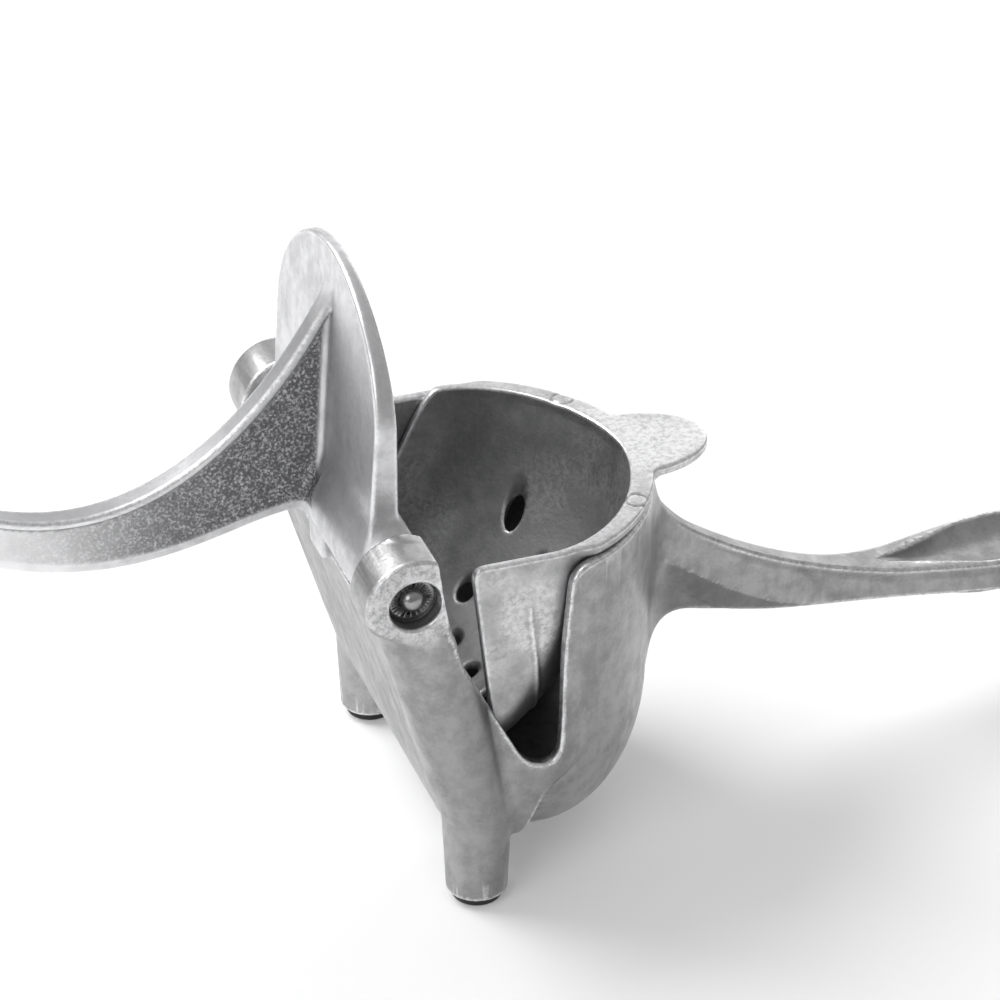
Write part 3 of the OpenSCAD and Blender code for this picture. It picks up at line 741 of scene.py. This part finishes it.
def buildPin(s=pinSet):  # a shank with a head at each end, its middle riveted to a ball
    a = np.linspace(0, math.radians(s["ballReach"]), 24)
    centre = s["floor"] + s["edge"] + s["rise"] - s["ball"]
    headR = [s["head"] - s["headRim"], s["head"], s["head"] - 0.2, s["radius"]]
    headZ = [s["floor"] + 0.3, s["floor"] + 0.2, s["floor"] + 0.02, s["floor"] + 0.02]
    radius = np.concatenate([s["ball"] * np.sin(a), headR])
    height = np.concatenate([np.maximum(centre + s["ball"] * np.cos(a), s["floor"] + s["edge"]), headZ])
    bothR = np.concatenate([radius, radius[::-1]])
    bothZ = np.concatenate([-height, height[::-1]])
    pin = lathePiece("hingePin", bothR, bothZ, s["around"], "Y")
    shiftMesh(pin, 0, 0, hingeHeight)
    return pin


def buildPad(name, side, s=padSet):  # a rubber disc with rounded edges
    a = np.linspace(0, np.pi / 2, 8)
    r, e = s["radius"], s["edge"]
    radius = np.concatenate([[0, r - e - 1], r - e + e * np.sin(a), r - e + e * np.cos(a), [r - e - 1, 0]])
    height = np.concatenate([[0, 0], e - e * np.cos(a), s["height"] - e + e * np.sin(a), [s["height"]] * 2])
    pad = lathePiece(name, radius, height, s["around"], "Z")
    shiftMesh(pad, bowlSet["footX"], side * bowlSet["footY"], 0)
    return pad


def bowlCut(x, y, z, s=bowlSet):  # the cut faces: the notch, the rim and the lug ends
    notch = np.exp(-((notchField(x, z) / 0.5) ** 2)) * (y < -30)
    rim = 0.7 * ease((z - s["rim"] + 0.7) / 0.5) * (np.hypot(x, z) > s["lug"] + 1.6) * (z < s["rim"] + 1)
    lugFace = 0.75 * ease((np.abs(y) - s["lugEnd"] + 0.6) / 0.4) * ease((z + 14) / 9)
    return np.clip(notch + rim + lugFace, 0, 1)


def strainerCut(x, y, z, s=strainerSet):  # the top of the flange and tab, and the open edge
    top = 0.8 * ease((z - s["top"] + 0.4) / 0.4)
    return np.clip(top + np.exp(-(((x - openEdge(z)) / 0.6) ** 2)), 0, 1)


# grid lines in mm, finer where the details are, and the most triangles each piece may have
castSet = {
    "bowlCast": {
        "field": bowlField, "most": 194000, "marks": {"cut": bowlCut, "dullAndShade": shadeBelowPartingAndLegs},
        "axes": [steps((-13, 62, 0.47), (62, 201, 0.8)), steps((-46, 46, 0.43)), steps((-75, 11, 0.43))],
    },
    "leverCast": {
        "field": leverField, "most": 190000, "marks": {"sand": sandAndShadeMark, "dullAndShade": armTopShade, "gripLight": gripLightMark},
        "axes": [steps((-199, -70, 0.6), (-70, 9, 0.46)), steps((-35, 35, 0.44)), steps((-15, 77, 0.44))],
    },
    "strainerCast": {
        "field": strainerField, "most": 186000, "marks": {"cut": strainerCut},
        "axes": [steps((11, 75, 0.4)), steps((-37, 37, 0.4)), steps((-58, 1, 0.4))],
    },
}
bowlPiece, leverPiece, strainerPiece = [castPiece(name, **values) for name, values in castSet.items()]
pinPiece = buildPin()
nearPad = buildPad("padNear", -1)
farPad = buildPad("padFar", 1)
print("pieces made")


def noiseNode(tree, vector, scale, detail, rough=0.6):
    noise = tree.nodes.new("ShaderNodeTexNoise")
    noise.inputs["Scale"].default_value = scale
    noise.inputs["Detail"].default_value = detail
    noise.inputs["Roughness"].default_value = rough
    tree.links.new(vector, noise.inputs["Vector"])
    return noise.outputs["Fac"]


def mathNode(tree, operation, first, second=0.0, third=0.0):
    node = tree.nodes.new("ShaderNodeMath")
    node.operation = operation
    for socket, value in zip(node.inputs, (first, second, third)):
        if isinstance(value, (int, float)):
            socket.default_value = value
        else:
            tree.links.new(value, socket)
    return node.outputs[0]


def rangeNode(tree, value, low, high, start=0.0, end=1.0):  # a smooth step between two values
    node = tree.nodes.new("ShaderNodeMapRange")
    node.interpolation_type = "SMOOTHSTEP"
    tree.links.new(value, node.inputs["Value"])
    for socket, number in zip(("From Min", "From Max", "To Min", "To Max"), (low, high, start, end)):
        node.inputs[socket].default_value = number
    return node.outputs["Result"]


def tintNode(tree, first, second, factor):  # mixes two colours by a factor
    node = tree.nodes.new("ShaderNodeMix")
    node.data_type = "RGBA"
    tree.links.new(factor, node.inputs["Factor"])
    for name, value in (("A", first), ("B", second)):
        if isinstance(value, tuple):
            node.inputs[name].default_value = (*value, 1)
        else:
            tree.links.new(value, node.inputs[name])
    return node.outputs["Result"]


# the corner and dull tints are painted shade, the pale tint is painted light towards the grip, and the sand
# tint is partly painted shade
tintSet = {
    "rubbed": (0.85, 0.85, 0.84), "worn": (0.9, 0.9, 0.91), "cut": (0.76, 0.76, 0.77),
    "gripLight": (0.94, 0.94, 0.95), "dullAndShade": (0.2, 0.2, 0.205), "corner": (0.1, 0.1, 0.105),
    "sand": (0.13, 0.13, 0.135),
}
scaleSet = {
    "broad": 38.0, "patch": 240.0, "streaks": 420.0, "speckle": 900.0, "grain": 1500.0, "sand": 1700.0,
    "rubber": 1800.0,
}
weightSet = {"broad": 0.36, "patch": 0.54, "streaks": 0.4, "grain": 0.12, "spread": 0.15}
metalSet = {
    "bowlMetal": {"light": (0.425, 0.423, 0.425), "dark": (0.285, 0.285, 0.29), "roughness": 0.4},
    "leverMetal": {
        "light": (0.68, 0.68, 0.69), "dark": (0.5, 0.5, 0.51),
        "roughness": 0.42, "streak": 0.5, "sandy": True,
    },
    "strainerMetal": {
        "light": (0.56, 0.56, 0.565), "dark": (0.38, 0.38, 0.385),
        "roughness": 0.42, "streak": 0.2, "burnish": 0.6,
    },
    "pinMetal": {"light": (0.4, 0.4, 0.4), "dark": (0.26, 0.26, 0.26), "roughness": 0.24, "streak": 0.1},
}


def markNodes(tree):  # the amounts that castPiece stored; one that a piece lacks reads as 0
    marks = {}
    for markName in ("wear", "corner", "cut", "sand", "dullAndShade", "gripLight"):
        node = tree.nodes.new("ShaderNodeAttribute")
        node.attribute_name = markName
        marks[markName] = node.outputs["Fac"]
    return marks


def castMetal(name, light, dark, roughness, streak=0.35, sandy=False, burnish=0.0):
    # colour: blotches of two sizes and faint upright streaks between two greys, painted light towards the
    # grip, painted shade on the dull parts, by the plate and in inside corners, then paler and speckled on
    # worn edges and cut faces
    material = bpy.data.materials.new(name)
    material.use_nodes = True
    tree = material.node_tree
    shade = tree.nodes["Principled BSDF"]
    shade.inputs["Metallic"].default_value = 1.0
    spot = tree.nodes.new("ShaderNodeTexCoord").outputs["Object"]
    stretch = tree.nodes.new("ShaderNodeMapping")
    stretch.inputs["Scale"].default_value = (1.0, 1.0, 0.1)
    tree.links.new(spot, stretch.inputs["Vector"])
    broad = noiseNode(tree, spot, scaleSet["broad"], 3.0)
    patch = noiseNode(tree, spot, scaleSet["patch"], 6.0, 0.68)
    grain = noiseNode(tree, spot, scaleSet["grain"], 3.0)
    lines = noiseNode(tree, stretch.outputs["Vector"], scaleSet["streaks"], 4.0)
    weight = dict(weightSet, streaks=weightSet["streaks"] * streak)
    tone = mathNode(tree, "MULTIPLY", patch, weight["patch"])
    tone = mathNode(tree, "MULTIPLY_ADD", broad, weight["broad"], tone)
    tone = mathNode(tree, "MULTIPLY_ADD", lines, weight["streaks"], tone)
    tone = mathNode(tree, "MULTIPLY_ADD", grain, weight["grain"], tone)
    middle = (weight["broad"] + weight["patch"] + weight["streaks"] + weight["grain"]) / 2
    tone = rangeNode(tree, tone, middle - weight["spread"], middle + weight["spread"])
    colour = tintNode(tree, dark, light, tone)
    marks = markNodes(tree)
    # painted light towards the grip
    colour = tintNode(tree, colour, tintSet["gripLight"], mathNode(tree, "MULTIPLY", marks["gripLight"], 0.75))
    # painted shade below the handle's parting line and on the arm's top strip, and darker legs; the same mark
    # makes them rougher
    colour = tintNode(tree, colour, tintSet["dullAndShade"], mathNode(tree, "MULTIPLY", marks["dullAndShade"], 0.6))
    speckle = rangeNode(tree, noiseNode(tree, spot, scaleSet["speckle"], 4.0, 0.75), 0.38, 0.6)
    if burnish:  # bright speckled patches rubbed by use
        rubbed = mathNode(tree, "MULTIPLY", rangeNode(tree, broad, 0.46, 0.62), speckle)
        colour = tintNode(tree, colour, tintSet["rubbed"], mathNode(tree, "MULTIPLY", rubbed, burnish))
    worn = mathNode(tree, "MULTIPLY", marks["wear"], mathNode(tree, "MULTIPLY_ADD", speckle, 0.6, 0.35))
    colour = tintNode(tree, colour, tintSet["worn"], worn)
    cut = mathNode(tree, "MULTIPLY", marks["cut"], mathNode(tree, "MULTIPLY_ADD", speckle, 0.75, 0.15))
    colour = tintNode(tree, colour, tintSet["cut"], cut)
    # painted shade in inside corners
    colour = tintNode(tree, colour, tintSet["corner"], mathNode(tree, "MULTIPLY", marks["corner"], 0.6))
    height = mathNode(tree, "MULTIPLY_ADD", patch, 0.35, mathNode(tree, "MULTIPLY", grain, 0.1))
    if sandy:  # dark dents between bright grains, and painted shade beside the plate
        sand = noiseNode(tree, spot, scaleSet["sand"], 4.0, 0.7)
        dents = rangeNode(tree, sand, 0.45, 0.68)
        sanded = mathNode(tree, "MULTIPLY", marks["sand"], mathNode(tree, "MULTIPLY_ADD", dents, -0.95, 0.97))
        colour = tintNode(tree, colour, tintSet["sand"], sanded)
        height = mathNode(tree, "MULTIPLY_ADD", mathNode(tree, "MULTIPLY", sand, marks["sand"]), 1.4, height)
    tree.links.new(colour, shade.inputs["Base Color"])
    rough = mathNode(tree, "MULTIPLY_ADD", tone, -0.14, roughness + 0.08)
    rough = mathNode(tree, "MULTIPLY_ADD", worn, -0.08, rough)
    rough = mathNode(tree, "MULTIPLY_ADD", marks["dullAndShade"], 0.12, rough)
    tree.links.new(rough, shade.inputs["Roughness"])
    addBump(tree, height, 0.0003)
    return material


def addBump(tree, height, depth):  # depth in metres
    bump = tree.nodes.new("ShaderNodeBump")
    bump.inputs["Strength"].default_value = 1.0
    bump.inputs["Distance"].default_value = depth
    tree.links.new(height, bump.inputs["Height"])
    tree.links.new(bump.outputs["Normal"], tree.nodes["Principled BSDF"].inputs["Normal"])


def padFinish(name):  # matt black rubber with a fine tooth
    material = bpy.data.materials.new(name)
    material.use_nodes = True
    tree = material.node_tree
    shade = tree.nodes["Principled BSDF"]
    shade.inputs["Roughness"].default_value = 0.62
    spot = tree.nodes.new("ShaderNodeTexCoord").outputs["Object"]
    grain = noiseNode(tree, spot, scaleSet["rubber"], 3.0)
    colour = tintNode(tree, (0.012, 0.012, 0.013), (0.03, 0.03, 0.031), grain)
    tree.links.new(colour, shade.inputs["Base Color"])
    addBump(tree, grain, 0.0001)
    return material


metals = {name: castMetal(name, **values) for name, values in metalSet.items()}
padRubber = padFinish("padRubber")

for piece, node, body, slot, material in (
    (bowlPiece, "bowl", "base", "bowl_casting", metals["bowlMetal"]),
    (leverPiece, "press_lever", "lever", "lever_casting", metals["leverMetal"]),
    (strainerPiece, "strainer", "strainer", "strainer_casting", metals["strainerMetal"]),
    (pinPiece, "hinge_pin", "base", "pin_steel", metals["pinMetal"]),
    (nearPad, "foot_pad_near", "base", "pad_rubber", padRubber),
    (farPad, "foot_pad_far", "base", "pad_rubber", padRubber),
):
    piece.data.materials.append(material)
    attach(piece, body)
    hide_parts(node)
print("pieces finished")
